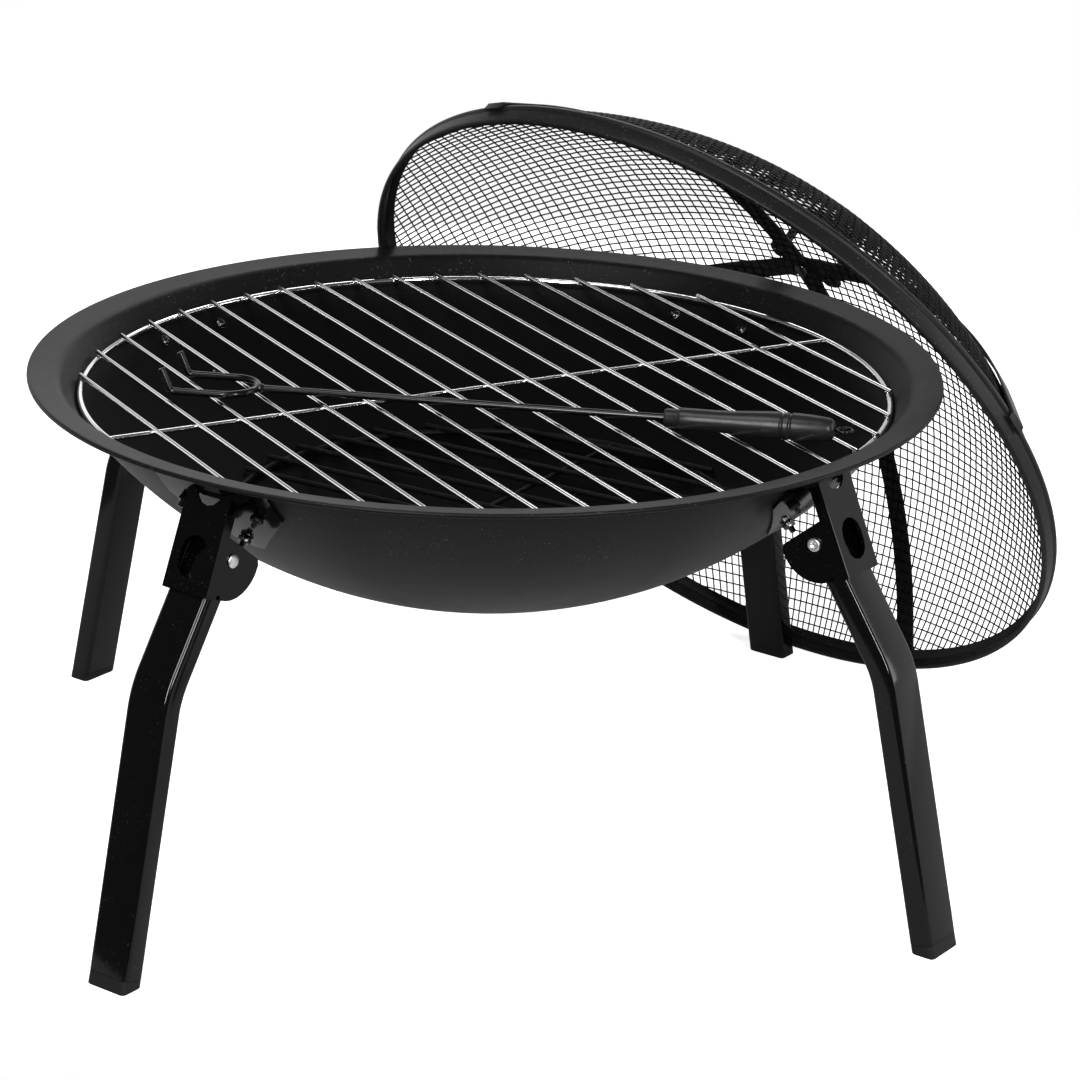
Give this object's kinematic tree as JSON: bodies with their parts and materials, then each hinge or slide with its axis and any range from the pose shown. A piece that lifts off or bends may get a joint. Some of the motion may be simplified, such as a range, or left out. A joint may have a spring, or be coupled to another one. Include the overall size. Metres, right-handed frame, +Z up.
{
  "type": "fire bowl",
  "caption": "Portable fire bowl with a flanged steel dish on folding bent legs, a chromed cooking grate, a charcoal grate, a forked poker and a domed mesh spark lid leaning on its rim.",
  "frame": {"origin": "on the floor under the middle of the bounding box of the object as pictured, with the lid leaning at its back right", "axes": "+Z up; +X to the right and +Y to the back as seen from the pictured front; legs stand on the diagonals of the bowl"},
  "size_m": [0.6546, 0.6386, 0.438],
  "materials": {
    "bowl_heat_paint": "satin charcoal-black heat-resistant paint on pressed steel",
    "bracket_paint": "glossy black powder coat",
    "leg_paint": "glossy black powder coat on steel tube",
    "foot_plastic": "black moulded plastic",
    "zinc_plate": "bright zinc-plated steel",
    "blackened_steel": "blackened steel",
    "chrome_plate": "bright chrome-plated wire",
    "grate_paint": "matt black heat paint on wire",
    "poker_paint": "satin black on steel rod",
    "handle_plastic": "satin black turned grip",
    "mesh_paint": "black coated woven wire mesh",
    "lid_paint": "satin charcoal-black heat paint",
    "bail_paint": "satin black on steel rod"
  },
  "bodies": {
    "stand": {"bowl": "bowl_heat_paint", "bracket_back_left": "bracket_paint", "bracket_back_right": "bracket_paint", "bracket_front_left": "bracket_paint", "bracket_front_right": "bracket_paint", "nut_back_left_left": "blackened_steel", "nut_back_left_lower": "blackened_steel", "nut_back_left_right": "blackened_steel", "nut_back_right_left": "blackened_steel", "nut_back_right_lower": "blackened_steel", "nut_back_right_right": "blackened_steel", "nut_front_left_left": "blackened_steel", "nut_front_left_lower": "blackened_steel", "nut_front_left_right": "blackened_steel", "nut_front_right_left": "blackened_steel", "nut_front_right_lower": "blackened_steel", "nut_front_right_right": "blackened_steel", "pivot_rivet_back_left": "zinc_plate", "pivot_rivet_back_right": "zinc_plate", "pivot_rivet_front_left": "zinc_plate", "pivot_rivet_front_right": "zinc_plate", "screw_back_left_left": "zinc_plate", "screw_back_left_lower": "zinc_plate", "screw_back_left_right": "zinc_plate", "screw_back_right_left": "zinc_plate", "screw_back_right_lower": "zinc_plate", "screw_back_right_right": "zinc_plate", "screw_front_left_left": "zinc_plate", "screw_front_left_lower": "zinc_plate", "screw_front_left_right": "zinc_plate", "screw_front_right_left": "zinc_plate", "screw_front_right_lower": "zinc_plate", "screw_front_right_right": "zinc_plate"},
    "leg_front_left": {"leg_front_left": "leg_paint", "foot_cap_front_left": "foot_plastic"},
    "leg_front_right": {"leg_front_right": "leg_paint", "foot_cap_front_right": "foot_plastic"},
    "leg_back_right": {"leg_back_right": "leg_paint", "foot_cap_back_right": "foot_plastic"},
    "leg_back_left": {"leg_back_left": "leg_paint", "foot_cap_back_left": "foot_plastic"},
    "cooking_grate": {"cooking_grate": "chrome_plate"},
    "charcoal_grate": {"charcoal_grate": "grate_paint"},
    "poker": {"poker_fork": "poker_paint", "poker_shaft": "poker_paint", "poker_handle": "handle_plastic", "poker_hanger": "poker_paint"},
    "lid": {"lid_handle": "bail_paint", "lid_handle_nut_a": "blackened_steel", "lid_handle_nut_b": "blackened_steel", "lid_handle_plate": "lid_paint", "lid_mesh": "mesh_paint", "lid_rim": "lid_paint", "lid_rivet": "zinc_plate", "lid_strap_a": "lid_paint", "lid_strap_b": "lid_paint"}
  },
  "joints": [
    {"name": "leg_front_left_fold", "type": "hinge", "parent": "stand", "child": "leg_front_left", "pos_m": [-0.22662, -0.21859, 0.238], "axis": [0.7071, -0.7071, 0], "range_deg": [0, 85]},
    {"name": "leg_front_right_fold", "type": "hinge", "parent": "stand", "child": "leg_front_right", "pos_m": [0.13202, -0.21859, 0.238], "axis": [0.7071, 0.7071, 0], "range_deg": [0, 85]},
    {"name": "leg_back_right_fold", "type": "hinge", "parent": "stand", "child": "leg_back_right", "pos_m": [0.13202, 0.14005, 0.238], "axis": [-0.7071, 0.7071, 0], "range_deg": [0, 85]},
    {"name": "leg_back_left_fold", "type": "hinge", "parent": "stand", "child": "leg_back_left", "pos_m": [-0.22662, 0.14005, 0.238], "axis": [-0.7071, -0.7071, 0], "range_deg": [0, 85]},
    {"name": "lid_lift_off", "type": "slide", "parent": "stand", "child": "lid", "axis": [0.6111, 0.5655, 0.554], "range_m": [0, 0.28]},
    {"name": "cooking_grate_lift_out", "type": "slide", "parent": "stand", "child": "cooking_grate", "axis": [-0.4066, -0.3763, 0.8325], "range_m": [0, 0.09]},
    {"name": "charcoal_grate_lift", "type": "slide", "parent": "stand", "child": "charcoal_grate", "axis": [0, 0, 1], "range_m": [0, 0.06]},
    {"name": "poker_lift_off", "type": "slide", "parent": "cooking_grate", "child": "poker", "axis": [0, 0, 1], "range_m": [0, 0.12]}
  ]
}
